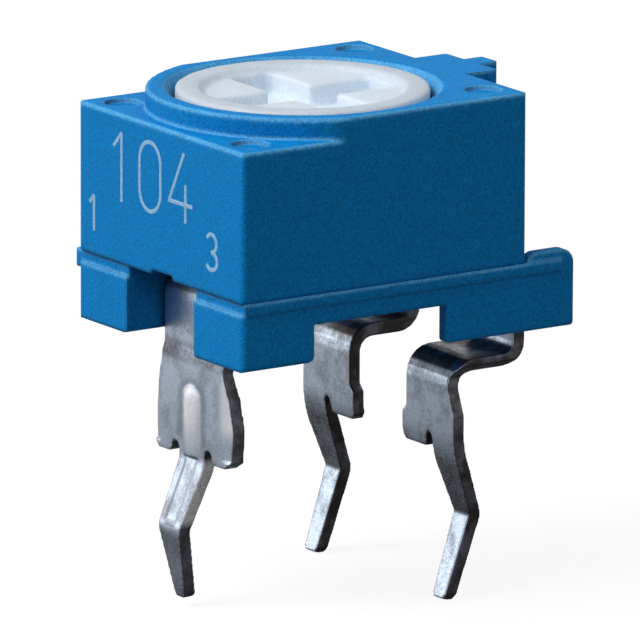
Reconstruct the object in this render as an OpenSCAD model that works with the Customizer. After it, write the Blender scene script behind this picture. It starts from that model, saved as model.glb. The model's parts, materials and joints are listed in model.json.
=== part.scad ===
// Board-mounted single-turn trimmer potentiometer, 5 mm x 5 mm pin pattern.
// Millimetres, +Z up. The origin is on the rotor's axis, at the top face of the
// circuit board, where the shoulders of the leads rest. The marked face looks to -X.

/* [Body] */
// Length of the moulded body along X
body_l = 7.32; // [7.1:0.02:8]
// Height of the feet's undersides above the board
foot_z = 2.6; // [2.4:0.05:3.4]
// Height of the feet under the base plate
foot_h = 0.83; // [0.6:0.01:1.1]
// Thickness of the base plate
plate_t = 0.67; // [0.65:0.01:0.9]
// Height of the housing from the base plate to the low shelf
shelf_h = 3.3; // [3.2:0.05:4]
// Height of the collar and the platform above the shelf
step_h = 0.48; // [0.35:0.01:0.7]
// Wall left between the bore and the body's sides
bore_wall = 0.425; // [0.38:0.005:0.5]
// Radius of the upright corners
corner_r = 0.12; // [0.08:0.01:0.25]
// Radius of the top edges
edge_r = 0.1; // [0.06:0.01:0.15]

/* [Collar and rear boss] */
// Width of the collar from the bore to its outside
collar_w = 0.59; // [0.55:0.01:0.65]
// Width of the slope from the collar's top down to the bore
mouth_w = 0.22; // [0.1:0.01:0.3]
// Depth of that slope
mouth_h = 0.3; // [0.1:0.01:0.4]
// Width of the boss on the rear wall
boss_w = 1.96; // [1.4:0.02:2.4]
// Depth of the boss behind the rear wall
boss_d = 0.74; // [0.5:0.01:0.9]
// Width of the rib on the boss
boss_rib_w = 0.6; // [0.3:0.01:0.8]
// Radius of the upright corners of the boss and its rib
boss_r = 0.06; // [0.03:0.01:0.2]
// Diameter of the dimples in the top's corners
dimple_d = 0.8; // [0.5:0.01:0.9]
// Depth of the dimples
dimple_h = 0.1; // [0.05:0.01:0.2]
// Distance from the body's front or rear to a dimple's centre
dimple_in_x = 0.66; // [0.6:0.01:0.7]
// Distance from the body's sides to a dimple's centre
dimple_in_y = 0.74; // [0.6:0.01:0.8]

/* [Base] */
// Length of a front foot along X
front_foot_l = 1.83; // [1.5:0.01:2]
// Where the side walls of the rear feet start along X
rear_wall_x = 1.58; // [1.2:0.01:1.9]
// Thickness of the side walls of the rear feet
side_wall_t = 0.28; // [0.25:0.01:0.3]
// Reach of the ears and of the boss rib behind the rear wall
ear_l = 1.22; // [1.05:0.01:1.6]
// Height of the ears above the base plate
ear_up = 0.2; // [0.05:0.01:0.3]
// Radius of the ears' top corners
ear_r = 0.3; // [0.1:0.01:0.5]
// Width of the notch between the front feet
notch_w = 2.62; // [2.55:0.01:2.9]
// Gap in the notch behind the front lead
notch_gap = 0.27; // [0.1:0.01:0.4]
// Height of the lip along both sides of the base
lip_h = 0.26; // [0.2:0.01:0.5]
// How far the lip stands out
lip_out = 0.04; // [0.02:0.01:0.1]
// Length of the moulding gate's stub on the left side, at the front corner
gate_l = 0.35; // [0.2:0.01:0.6]
// Height of that stub
gate_h = 0.42; // [0.2:0.01:0.5]
// How far that stub stands out
gate_out = 0.17; // [0.05:0.01:0.2]
// Height of the set-back band above the front feet
band_h = 0.26; // [0.15:0.01:0.4]
// Depth of the set-back band
band_in = 0.06; // [0.03:0.01:0.1]
// Radius of the feet's inner bottom corners
foot_r = 0.18; // [0.1:0.01:0.3]
// Radius of the bottom corners of the rear feet
wall_r = 0.08; // [0.04:0.01:0.2]
// Thickness of the rear bar behind the rear leads
rear_bar_t = 0.28; // [0.2:0.01:0.4]

/* [Rotor] */
// Gap between rotor and housing
run_gap = 0.05; // [0.03:0.01:0.07]
// How far the rotor's rim lies below the collar
rotor_sink = 0.01; // [0:0.01:0.2]
// Width of the flat rim round the dish
rim_w = 0.5; // [0.4:0.01:0.6]
// Width of the slope round the dish
dish_slope = 0.12; // [0.05:0.01:0.2]
// Depth of the dish
dish_h = 0.15; // [0.1:0.01:0.3]
// Width of an arm of the cross recess
cross_w = 1.04; // [0.6:0.01:1.2]
// Distance from the ends of the cross recess to the dish's slope
cross_end = 0.08; // [0.04:0.01:0.3]
// Depth of the cross recess below the rim
cross_h = 0.62; // [0.5:0.01:0.95]
// Radius of the ends of the cross recess
cross_r = 0.2; // [0.1:0.01:0.3]
// Distance from the rotor's ledge to the groove of the seal ring
groove_up = 0.25; // [0.2:0.01:0.3]
// Play of the seal ring in its groove, above and below
groove_play = 0.05; // [0.02:0.01:0.08]
// Thickness of the section of the seal ring
seal_t = 0.55; // [0.5:0.01:0.6]
// Radial overlap of flange and ledge that keeps the rotor in
keep_w = 0.15; // [0.12:0.01:0.17]
// Thickness of the keeping flange
flange_t = 0.25; // [0.2:0.01:0.3]
// Thickness of the stop sector under the flange
stop_t = 0.45; // [0.4:0.01:0.5]
// Radius of the hub that the contact spring sits on
hub_r = 0.5; // [0.4:0.01:0.6]
// Half of the rotor's travel, in degrees
travel = 120; // [90:1:130]
// Width of the stop lug in the housing
lug_w = 0.8; // [0.6:0.01:1]
// How far the stop lug reaches in from the cavity wall
lug_reach = 0.54; // [0.4:0.01:0.6]

/* [Ceramic plate and contact] */
// Distance from the body's front and rear to the ceramic plate
plate_end = 0.76; // [0.7:0.01:0.8]
// Distance from the body's sides to the ceramic plate
plate_side = 0.475; // [0.4:0.005:0.55]
// Gap round the ceramic plate at its ends
plate_gap_x = 0.08; // [0.04:0.01:0.1]
// Gap round the ceramic plate at its sides
plate_gap_y = 0.04; // [0.02:0.01:0.08]
// Thickness of the ceramic plate
ceramic_t = 0.6; // [0.5:0.01:0.7]
// Thickness of the printed films
film_t = 0.03; // [0.02:0.005:0.05]
// Distance from the ceramic plate's side to the resistive film
track_edge = 0.2; // [0.1:0.01:0.3]
// Width of the resistive film
track_w = 0.5; // [0.4:0.01:0.6]
// Width of the conductor pads at the film's ends
pad_w = 0.85; // [0.7:0.01:0.9]
// Middle radius of the collector ring
ring_r = 0.85; // [0.8:0.01:1]
// Width of the collector ring
ring_w = 0.6; // [0.5:0.01:0.8]
// Radius of the plated hole in the ceramic plate
hole_r = 0.3; // [0.2:0.01:0.4]
// Width of the conductor strip under the ceramic plate
feed_w = 0.8; // [0.6:0.01:1]
// Height of the room for the contact spring, from the films to the rotor
spring_room = 0.57; // [0.5:0.01:0.7]
// Radius of the contact spring's round plate
spring_r = 1.45; // [1.3:0.01:1.5]
// Thickness of the contact spring
spring_t = 0.1; // [0.08:0.01:0.12]
// Width of one finger of the contact spring
finger_w = 0.24; // [0.2:0.01:0.28]
// Gap between the fingers of the contact spring
finger_gap = 0.06; // [0.04:0.01:0.1]

/* [Leads] */
// Thickness of the lead sheet
lead_t = 0.3; // [0.25:0.01:0.32]
// Distance between the front pin and the rear pins in the board
pitch_x = 5; // [4.8:0.02:5.2]
// Distance between the two rear pins in the board
pitch_y = 5; // [4.8:0.02:5.1]
// Place of the front pin in the board along X, in front of the axis
front_pin_x = 2.68; // [2.6:0.01:2.8]
// Reach of the rear pins below the board
pin_l = 3.27; // [2.9:0.01:3.6]
// Reach of the front pin below the board
front_pin_l = 3.05; // [2.9:0.05:3.6]
// Outward kink of the rear pins from their holes' centres
kink = 0.32; // [0.2:0.01:0.45]
// Outward kink of the front pin from its hole's centre
front_kink = 0.62; // [0.4:0.01:0.7]
// Depth of the kinks below the board
kink_z = 1.42; // [1.2:0.02:1.6]
// Set-back of the front lead's upper plate above its crease
crease_in = 0.08; // [0:0.01:0.12]
// Width of the front lead's upper plate
front_plate_w = 2.4; // [2.2:0.01:2.5]
// Width of the front lead across its shoulders
front_wide = 3; // [2.8:0.01:3.1]
// Width of the front pin at its root
front_pin_w = 1; // [0.8:0.01:1.1]
// Height of the front lead's crease above the board, where its shoulders start
crease_z = 2.02; // [1.9:0.01:2.1]
// Width of the rib pressed into the front lead
rib_w = 0.6; // [0.4:0.01:0.8]
// Height of that rib
rib_h = 0.1; // [0.05:0.01:0.15]
// Distance from the crease to the rib's round top
rib_down = 0.2; // [0.1:0.01:0.5]
// Length of the front lead's tab on the solder
front_tab_l = 1.05; // [0.9:0.01:1.1]
// How far the edges of the front lead's shoulders are bent back
edge_back = 0.14; // [0:0.01:0.2]
// Width of a rear pin at its root
rear_pin_w = 0.84; // [0.7:0.01:0.9]
// Width of the rear leads' strip
rear_strip_w = 1.82; // [1.7:0.01:1.9]
// Gap between a rear lead and the side wall beside it
strip_gap = 0.025; // [0.02:0.005:0.1]
// Length of the rear leads' tabs under the ceramic plate
rear_tab_l = 0.55; // [0.5:0.01:0.6]
// Height of the middle of the rear leads' level strip above the board
strip_z = 1.93; // [1.7:0.01:2]
// How far the rear leads' risers stand behind the rear wall
riser_out = 0.03; // [0.02:0.01:0.15]
// Depth of the sealing resin in its pockets
resin_h = 0.17; // [0.1:0.01:0.17]
// Half length of a resin pocket along X
pocket_x = 0.3; // [0.25:0.01:0.32]
// How far a resin pocket reaches past the lead on each side
pocket_y = 0.1; // [0.05:0.01:0.12]

/* [Hidden] */
$fn = 48;
eps = 0.01;
// Gap left round parts that are put in by hand or moulded in
fit = 0.02;
// Reach of the hub below the contact spring, and of the strip under the plate past the axis
hub_out = 0.12;
feed_in = 0.5;
// Angle left between the stop sector and the lug at the ends of the travel
stop_play = 0.4;
// Relief in the housing's lower front edge: where it starts and ends along Y, and its height
relief_from = -0.5;
relief_to = 0.35;
relief_h = 0.1;

blue = "#1b7cbb";
white = "#e4e8ee";
tin = "#b9b8bb";

// Levels from the board up
plate_z = foot_z + foot_h;
part_z = plate_z + plate_t;
shelf_z = part_z + shelf_h;
top_z = shelf_z + step_h;
ceramic_top = part_z + ceramic_t;
film_top = ceramic_top + film_t;
cavity_z = film_top + fit;
stop_z = film_top + spring_room;
flange_z = stop_z + stop_t;
ledge_z = flange_z + flange_t + fit;
groove_z = ledge_z + groove_up;
rotor_top = top_z - rotor_sink;

// Plan positions: the side walls stand beside the rear leads, and so the
// body's width, the bore and the ceramic plate follow from the pin pattern
pin_half = pitch_y / 2;
rear_strip_out = pin_half + rear_pin_w / 2;
rear_strip_in = rear_strip_out - rear_strip_w;
side_y = rear_strip_out + strip_gap + side_wall_t;
body_w = 2 * side_y;
front_x = -body_l / 2;
rear_x = body_l / 2;
ear_x = rear_x + ear_l;
bore_r = side_y - bore_wall;
collar_r = bore_r + collar_w;
cavity_r = bore_r + keep_w;
rotor_r = bore_r - run_gap;
dish_r = rotor_r - rim_w;
cross_half = dish_r - dish_slope - cross_end;
flange_r = cavity_r - run_gap;
groove_r = bore_r - fit - seal_t;
lug_r = cavity_r - lug_reach;
core_r = lug_r - run_gap;

// Ceramic plate and films
plate_x = rear_x - plate_end;
plate_y = side_y - plate_side;
track_r = plate_y - track_edge - track_w / 2;
pad_mid = rear_strip_in + pad_w / 2;
track_end_x = sqrt(track_r * track_r - pad_mid * pad_mid);

// Leads
front_pin_at = -front_pin_x;
rear_pin_at = front_pin_at + pitch_x;
plate_at_front = front_pin_at - 0.02;
plate_at_rear = rear_pin_at - 0.2;
riser_x = rear_x + riser_out;
tab_z = part_z - lead_t;
tab_top = tab_z + lead_t / 2;
tab_in = plate_x - rear_tab_l;
front_tab_in = plate_at_front + front_tab_l;
notch_back = plate_at_front + lead_t / 2 + notch_gap;
rear_bar_x = riser_x + lead_t / 2 + rear_bar_t;

function unit(v) = v / norm(v);
function perp(v) = [-v[1], v[0]];
// Points of an arc round a centre from p to q, the short way
function arc_points(c, p, q, n) =
    let (a = atan2(p[1] - c[1], p[0] - c[0]),
         b = atan2(q[1] - c[1], q[0] - c[0]),
         turn = (b - a + 540) % 360 - 180)
    [for (i = [0 : n]) c + norm(p - c) * [cos(a + turn * i / n), sin(a + turn * i / n)]];
// The corner b between a and c, rounded with radius r
function round_corner(a, b, c, r, n) =
    let (u = unit(a - b), v = unit(c - b), half = acos(u * v) / 2,
         back = r / tan(half), centre = b + unit(u + v) * r / sin(half))
    arc_points(centre, b + u * back, b + v * back, n);
// A path [x, y, r] whose inner corners are rounded with their own radius r
function round_path(pts, n = 5) =
    let (last = len(pts) - 1, at = function (i) [pts[i][0], pts[i][1]])
    concat([at(0)],
           [for (i = [1 : last - 1])
                each pts[i][2] > 0 ? round_corner(at(i - 1), at(i), at(i + 1), pts[i][2], n)
                                   : [at(i)]],
           [at(last)]);
function path_normal(path, i) =
    perp(unit(path[min(i + 1, len(path) - 1)] - path[max(i - 1, 0)]));
// Outline of a sheet of thickness t that follows a path
function sheet_outline(path, t) =
    concat([for (i = [0 : len(path) - 1]) path[i] + path_normal(path, i) * t / 2],
           [for (i = [len(path) - 1 : -1 : 0]) path[i] - path_normal(path, i) * t / 2]);

// Rectangle from (x0, y0) to (x1, y1) with rounded corners
module round_rect(x0, y0, x1, y1, r) {
    translate([x0 + r, y0]) square([x1 - x0 - 2 * r, y1 - y0]);
    translate([x0, y0 + r]) square([x1 - x0, y1 - y0 - 2 * r]);
    for (x = [x0 + r, x1 - r], y = [y0 + r, y1 - r]) translate([x, y]) circle(r);
}
// Box from corner a to corner b
module box(a, b) {
    translate(a) cube(b - a);
}
// Extrusion along Y, from y0 to y1, of an outline drawn in X and Z
module along_y(y0, y1) {
    translate([0, y1, 0]) rotate([90, 0, 0]) linear_extrude(y1 - y0) children();
}
// Extrusion along X, from x0 to x1, of an outline drawn in Y and Z
module along_x(x0, x1) {
    translate([x0, 0, 0]) rotate([90, 0, 90]) linear_extrude(x1 - x0) children();
}
// Block with rounded upright corners and rounded top edges
module soft_block(z0, z1) {
    intersection() {
        translate([0, 0, z0]) linear_extrude(z1 - z0)
            round_rect(front_x, -side_y, rear_x, side_y, corner_r);
        along_y(-side_y - 1, side_y + 1)
            round_rect(front_x, z0 - 1, rear_x, z1, edge_r);
        along_x(front_x - 1, rear_x + 1)
            round_rect(-side_y, z0 - 1, side_y, z1, edge_r);
    }
}
// Tube between two radii
module tube(r0, r1, z0, z1) {
    translate([0, 0, z0]) difference() {
        cylinder(r = r1, h = z1 - z0);
        translate([0, 0, -eps]) cylinder(r = r0, h = z1 - z0 + 2 * eps);
    }
}
// Wedge of a disc about the angle mid, half degrees to either side
module wedge(r, mid, half, z0, z1) {
    translate([0, 0, z0]) linear_extrude(z1 - z0)
        polygon(concat([[0, 0]],
                       [for (i = [-3 : 3]) 1.5 * r * [cos(mid + half * i / 3), sin(mid + half * i / 3)]]));
}

module collar() {
    translate([0, 0, part_z]) cylinder(r = collar_r - edge_r, h = top_z - part_z);
    translate([0, 0, part_z]) cylinder(r = collar_r, h = top_z - edge_r - part_z);
    translate([0, 0, top_z - edge_r]) rotate_extrude()
        translate([collar_r - edge_r, 0]) intersection() {
            circle(edge_r);
            square(edge_r);
        }
}
module rear_boss() {
    translate([0, 0, part_z + fit]) linear_extrude(top_z - part_z - fit) {
        round_rect(rear_x - 1, -boss_w / 2, rear_x + boss_d, boss_w / 2, boss_r);
        round_rect(rear_x - 1, -boss_rib_w / 2, ear_x, boss_rib_w / 2, boss_r);
    }
}
module dimples() {
    for (sx = [-1, 1], sy = [-1, 1])
        translate([sx * (rear_x - dimple_in_x), sy * (side_y - dimple_in_y),
                   (sx < 0 ? shelf_z : top_z) - dimple_h])
            cylinder(d = dimple_d, h = 1);
}
module rotor_chamber() {
    translate([0, 0, ledge_z - eps]) cylinder(r = bore_r, h = top_z - ledge_z + 1);
    translate([0, 0, top_z - mouth_h])
        cylinder(r1 = bore_r, r2 = bore_r + mouth_w * (mouth_h + eps) / mouth_h, h = mouth_h + eps);
    difference() {
        translate([0, 0, cavity_z - eps]) cylinder(r = cavity_r, h = ledge_z - cavity_z + eps);
        box([lug_r, -lug_w / 2, stop_z], [cavity_r + 1, lug_w / 2, flange_z - 2 * fit]);
    }
    box([-plate_x - plate_gap_x, -plate_y - plate_gap_y, part_z - 1],
        [plate_x + plate_gap_x, plate_y + plate_gap_y, cavity_z]);
}
module housing() {
    color(blue) difference() {
        union() {
            soft_block(part_z, shelf_z);
            intersection() {
                soft_block(part_z, top_z);
                union() {
                    collar();
                    box([0, -side_y, part_z], [rear_x, side_y, top_z]);
                }
            }
            rear_boss();
        }
        rotor_chamber();
        dimples();
        // relief over the front lead
        along_x(front_x - 1, front_x + 0.5)
            round_rect(relief_from, part_z - 1, relief_to, part_z + relief_h, relief_h * 0.8);
    }
}

module front_foot(s) {
    y0 = notch_w / 2;
    intersection() {
        translate([0, 0, foot_z]) linear_extrude(foot_h + eps)
            translate([front_x, s > 0 ? y0 : -side_y]) square([front_foot_l, side_y - y0]);
        along_y(-side_y - 1, side_y + 1)
            round_rect(front_x - 1, foot_z, front_x + front_foot_l, part_z + 1, foot_r);
        along_x(front_x - 1, front_x + 5)
            round_rect(s > 0 ? y0 : -side_y, foot_z, s > 0 ? side_y : -y0, part_z + 1, edge_r);
    }
}
module side_wall(s) {
    along_y(s > 0 ? side_y - side_wall_t : -side_y, s > 0 ? side_y : side_wall_t - side_y) {
        round_rect(rear_wall_x, foot_z, rear_x, part_z, wall_r);
        round_rect(rear_x - 1, foot_z, ear_x, part_z, wall_r);
        intersection() {
            round_rect(rear_x, foot_z, ear_x, part_z + ear_up, ear_r);
            translate([rear_x, foot_z + foot_h]) square(10);
        }
    }
}
// Lip on the side s along the base's top, and the stub of the moulding gate on the left side
module lip(s) {
    along_y(s > 0 ? side_y - lip_out : -side_y - lip_out, s > 0 ? side_y + lip_out : lip_out - side_y)
        round_rect(front_x + corner_r, part_z - lip_h, ear_x - ear_r, part_z, lip_out / 2);
}
module gate_stub() {
    x0 = front_x + corner_r / 2;
    along_y(side_y - corner_r / 2, side_y + gate_out)
        round_rect(x0, part_z - gate_h, x0 + gate_l, part_z, 0.05);
}
// Slot round a rear lead, in the rear bar and in the plate
module lead_slot(s) {
    y0 = s > 0 ? rear_strip_in - fit : -rear_strip_out - fit;
    y1 = y0 + rear_strip_w + 2 * fit;
    half = lead_t / 2 + fit;
    box([riser_x - half, y0, foot_z - 1], [riser_x + half, y1, tab_z + half]);
    box([tab_in - fit, y0, tab_z - half], [riser_x + half, y1, tab_z + half]);
    box([tab_in - fit, y0, tab_z - half], [plate_x + plate_gap_x, y1, part_z + 1]);
    box([riser_x - pocket_x - fit, y0 - pocket_y, plate_z - 1],
        [riser_x + pocket_x + fit, y1 + pocket_y, plate_z + resin_h]);
}
module base() {
    color(blue) difference() {
        union() {
            translate([0, 0, plate_z]) linear_extrude(plate_t) {
                round_rect(front_x, -side_y, rear_x, side_y, corner_r);
                translate([rear_x - 1, -side_y]) square([rear_bar_x - rear_x + 1, body_w]);
            }
            for (s = [-1, 1]) {
                intersection() {
                    front_foot(s);
                    translate([0, 0, foot_z - 1]) linear_extrude(5)
                        round_rect(front_x, -side_y, rear_x, side_y, corner_r);
                }
                side_wall(s);
                lip(s);
            }
            gate_stub();
        }
        box([front_x - 1, -notch_w / 2, foot_z - 1], [notch_back, notch_w / 2, part_z + 1]);
        for (s = [-1, 1]) lead_slot(s);
        // set-back band above the front feet
        box([front_x - 1, -side_y - 1, part_z - band_h], [front_x + band_in, side_y + 1, part_z + 1]);
        // room for the front lead's tab and for the conductor under the ceramic plate
        box([notch_back - 1, -front_plate_w / 2 - fit, tab_z - lead_t / 2 - fit],
            [front_tab_in + fit, front_plate_w / 2 + fit, part_z + 1]);
        box([front_tab_in - 1, -feed_w / 2 - 0.2, part_z - film_t - fit],
            [feed_in + 0.1, feed_w / 2 + 0.2, part_z + 1]);
    }
}

module rotor() {
    stop_half = 180 - travel - asin(lug_w / 2 / lug_r) - stop_play;
    color(white) difference() {
        union() {
            translate([0, 0, ledge_z - fit]) cylinder(r = rotor_r, h = rotor_top - ledge_z + fit);
            translate([0, 0, flange_z]) cylinder(r = flange_r, h = flange_t);
            translate([0, 0, stop_z]) cylinder(r = core_r, h = stop_t);
            intersection() {
                translate([0, 0, stop_z]) cylinder(r = flange_r, h = stop_t);
                wedge(flange_r, 180, stop_half, stop_z, flange_z);
            }
            translate([0, 0, stop_z - spring_t - hub_out])
                cylinder(r = hub_r, h = spring_t + hub_out + eps);
        }
        tube(groove_r, rotor_r + 1, groove_z, groove_z + seal_t + 2 * groove_play);
        translate([0, 0, rotor_top - dish_h])
            cylinder(r1 = dish_r - dish_slope, r2 = dish_r + dish_slope * eps / dish_h, h = dish_h + eps);
        translate([0, 0, rotor_top - cross_h]) linear_extrude(cross_h + 1) {
            round_rect(-cross_half, -cross_w / 2, cross_half, cross_w / 2, cross_r);
            round_rect(-cross_w / 2, -cross_half, cross_w / 2, cross_half, cross_r);
        }
    }
}
module seal_ring() {
    color("#3a3a3c") translate([0, 0, groove_z + groove_play + seal_t / 2]) rotate_extrude()
        translate([bore_r - fit / 2 - seal_t / 2, 0]) circle(d = seal_t - fit);
}
// One finger of the contact spring, drawn outward along X
module finger(path, y) {
    along_y(y - finger_w / 2, y + finger_w / 2) polygon(sheet_outline(path, spring_t));
}
module wiper() {
    plate_mid = stop_z - spring_t / 2;
    touch = film_top + fit + spring_t / 2;
    root = spring_r - 0.25;
    fold = spring_r + 0.3;
    outer = round_path([[root, plate_mid, 0], [spring_r + 0.05, plate_mid, 0.2],
                        [track_r, touch, 0.12], [track_r + 0.2, touch + 0.15, 0]]);
    inner = round_path([[root, plate_mid, 0], [fold, plate_mid, 0.1], [fold, plate_mid - 0.25, 0.1],
                        [ring_r, touch, 0.12], [ring_r - 0.2, touch + 0.12, 0]]);
    color("#c9a35c") {
        tube(hub_r + fit / 2, spring_r, stop_z - spring_t, stop_z);
        for (i = [-1, 0, 1]) mirror([1, 0, 0]) finger(outer, i * (finger_w + finger_gap));
        for (i = [-1, 1]) finger(inner, i * (finger_w + finger_gap) / 2);
    }
}

module substrate() {
    color("#f1efe6") difference() {
        box([-plate_x, -plate_y, part_z], [plate_x, plate_y, ceramic_top]);
        translate([0, 0, part_z - 1]) cylinder(r = hole_r, h = ceramic_t + 2);
    }
}
module resistive_track() {
    color("#2c2a28") intersection() {
        tube(track_r - track_w / 2, track_r + track_w / 2, ceramic_top, film_top);
        box([-plate_x, -plate_y, ceramic_top - 1], [track_end_x, plate_y, film_top + 1]);
    }
}
module collector_track() {
    color("#a7a6a0") difference() {
        union() {
            translate([0, 0, ceramic_top]) cylinder(r = ring_r + ring_w / 2, h = film_t);
            translate([0, 0, part_z - film_t]) cylinder(r = hole_r, h = ceramic_t + film_t + eps);
            box([-plate_x + 0.2, -feed_w / 2, part_z - film_t], [feed_in, feed_w / 2, part_z]);
        }
        translate([0, 0, part_z - 1]) cylinder(r = hole_r - film_t * 2, h = ceramic_t + 2);
    }
}
module end_pad(s) {
    low = tab_in + 0.1;
    color("#b8b6ae") along_y(s * pad_mid - pad_w / 2, s * pad_mid + pad_w / 2) {
        translate([track_end_x, ceramic_top]) square([plate_x - track_end_x + film_t, film_t]);
        translate([plate_x, part_z - film_t]) square([film_t, ceramic_t + 2 * film_t]);
        translate([low, part_z - film_t]) square([plate_x - low + film_t, film_t]);
    }
}
module end_pad_left() { end_pad(1); }
module end_pad_right() { end_pad(-1); }

// Half of the front lead's outline seen from the front, from the pin's tip up
function front_half() =
    let (w = front_wide / 2, p = front_pin_w / 2)
    concat([[0.12, -front_pin_l], [0.19, -front_pin_l + 0.1], [p - 0.08, -kink_z], [p, -0.2]],
           arc_points([p + 0.14, 0.13], [p, 0.13], [p + 0.28, 0.13], 4),
           [[p + 0.28, 0.08], [p + 0.36, 0], [w - 0.2, 0], [w - 0.05, 0.12], [w, 0.8]],
           [[w - 0.12, 1.5], [front_plate_w / 2, crease_z], [front_plate_w / 2, part_z]]);
module front_outline() {
    h = front_half();
    polygon(concat(h, [for (i = [len(h) - 1 : -1 : 0]) [-h[i][0], h[i][1]]]));
}
// Section of the front lead's shoulders, with their edges bent back
module shoulder_section() {
    w = front_wide / 2 + 0.1;
    polygon(sheet_outline(round_path([[edge_back, -w, 0], [0, -w + 0.4, 0.3], [0, w - 0.4, 0.3],
                                      [edge_back, w, 0]], 4), lead_t));
}
// Upright round bar with a round top end at the height z, for the pressed rib
module rib_bar(r, x, z) {
    dome = [for (a = [0 : 15 : 90]) [r * cos(a), z + r * sin(a)]];
    translate([x, 0, 0]) rotate_extrude() polygon(concat([[0, -0.5], [r, -0.5]], dome));
}
module wiper_terminal() {
    kink_at = front_pin_at - front_kink;
    upper_x = plate_at_front + crease_in;
    path = round_path([[front_tab_in, tab_z, 0], [upper_x, tab_z, 0.4], [upper_x, crease_z + 0.35, 0],
                       [plate_at_front, crease_z + 0.08, 0], [plate_at_front, -0.1, 0.8],
                       [kink_at, -kink_z - 0.06, 0.3], [kink_at + 0.3, -front_pin_l, 0]]);
    // the rib's outer radius from its width and height
    rib_r = (rib_w * rib_w / 4 + rib_h * rib_h) / (2 * rib_h);
    rib_x = rib_r - rib_h - lead_t / 2;
    rib_z = crease_z - rib_down - rib_r;
    color(tin) intersection() {
        difference() {
            union() {
                intersection() {
                    along_y(-2, 2) polygon(sheet_outline(path, lead_t));
                    difference() {
                        box([-5, -2, -5], [0, 2, part_z]);
                        box([-5, -2, 0.15], [0, 2, crease_z]);
                    }
                }
                translate([plate_at_front, 0, 0]) {
                    linear_extrude(crease_z) shoulder_section();
                    intersection() {
                        rib_bar(rib_r, rib_x, rib_z);
                        box([-1, -1, 0.05], [0, 1, crease_z]);
                    }
                }
            }
            translate([plate_at_front, 0, 0]) rib_bar(rib_r - lead_t, rib_x, rib_z);
        }
        along_x(-5, 0) front_outline();
    }
}
// Outline of a rear lead seen from the front, for the side with positive Y
function rear_outline() =
    let (inner = pin_half - rear_pin_w / 2, lobe = rear_strip_in - 0.15)
    concat([[pin_half - 0.14, -pin_l], [pin_half + 0.14, -pin_l]],
           [[pin_half + 0.24, -pin_l + 0.12]],
           [[pin_half + 0.3, -kink_z], [rear_strip_out, -0.4], [rear_strip_out, 0.85]],
           [[rear_strip_out - 0.22, 1.4], [rear_strip_out - 0.22, strip_z - 0.25]],
           [[rear_strip_out, strip_z], [rear_strip_out, part_z], [rear_strip_in, part_z]],
           [[rear_strip_in, 0.78], [lobe, 0.64], [lobe, 0.12], [lobe + 0.1, 0], [inner - 0.26, 0]],
           arc_points([inner - 0.1, 0.25], [inner - 0.2, 0.25], [inner, 0.25], 4),
           [[inner, -0.3], [pin_half - 0.3, -kink_z], [pin_half - 0.24, -pin_l + 0.12]]);
module rear_lead(s) {
    kink_at = rear_pin_at + kink;
    path = round_path([[tab_in, tab_z, 0], [riser_x, tab_z, 0.25], [riser_x, strip_z, 0.4],
                       [plate_at_rear, strip_z, 0.45], [plate_at_rear, 0.05, 2.2],
                       [kink_at, -kink_z, 0.25], [kink_at - 0.62, -pin_l, 0]]);
    color(tin) intersection() {
        along_y(-4, 4) polygon(sheet_outline(path, lead_t));
        along_x(0, 6) mirror([s > 0 ? 0 : 1, 0]) polygon(rear_outline());
    }
}
module end_terminal_left() { rear_lead(1); }
module end_terminal_right() { rear_lead(-1); }

module rear_solder(s) {
    y0 = s > 0 ? rear_strip_in + 0.05 : -rear_strip_in - 0.7;
    edge = plate_x + film_t;
    color("#c9c9cc") along_y(y0, y0 + 0.65)
        polygon([[tab_in + 0.15, tab_top], [edge + 0.04, tab_top], [edge + 0.04, part_z],
                 [edge, part_z + 0.3], [edge, part_z - film_t], [tab_in + 0.15, part_z - film_t]]);
}
module solder_joint_left() { rear_solder(1); }
module solder_joint_right() { rear_solder(-1); }
module solder_joint_front() {
    color("#c9c9cc")
        box([plate_at_front + 0.2, -feed_w / 2 + 0.05, tab_top],
            [front_tab_in - 0.15, feed_w / 2 - 0.05, part_z - film_t]);
}
module sealing_resin() {
    color("#2f3f52") for (s = [-1, 1]) {
        y0 = s > 0 ? rear_strip_in - pocket_y : -rear_strip_out - pocket_y;
        y1 = y0 + rear_strip_w + 2 * pocket_y;
        difference() {
            box([riser_x - pocket_x, y0, plate_z], [riser_x + pocket_x, y1, plate_z + resin_h]);
            box([riser_x - lead_t / 2 - eps, y0 + pocket_y - eps, 0],
                [riser_x + lead_t / 2 + eps, y1 - pocket_y + eps, part_z]);
        }
    }
}

housing();
base();
rotor();
seal_ring();
wiper();
substrate();
resistive_track();
collector_track();
end_pad_left();
end_pad_right();
wiper_terminal();
end_terminal_left();
end_terminal_right();
solder_joint_front();
solder_joint_left();
solder_joint_right();
sealing_resin();
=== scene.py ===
"""Looks of a board-mounted trimmer potentiometer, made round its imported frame.

The moulded and stamped pieces are rounded and finished one by one, each on the
body that carries it, and shown on a pale floor in soft light.
"""

import json
import math

import bmesh
import bpy
from mathutils import Matrix, Vector

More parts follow.
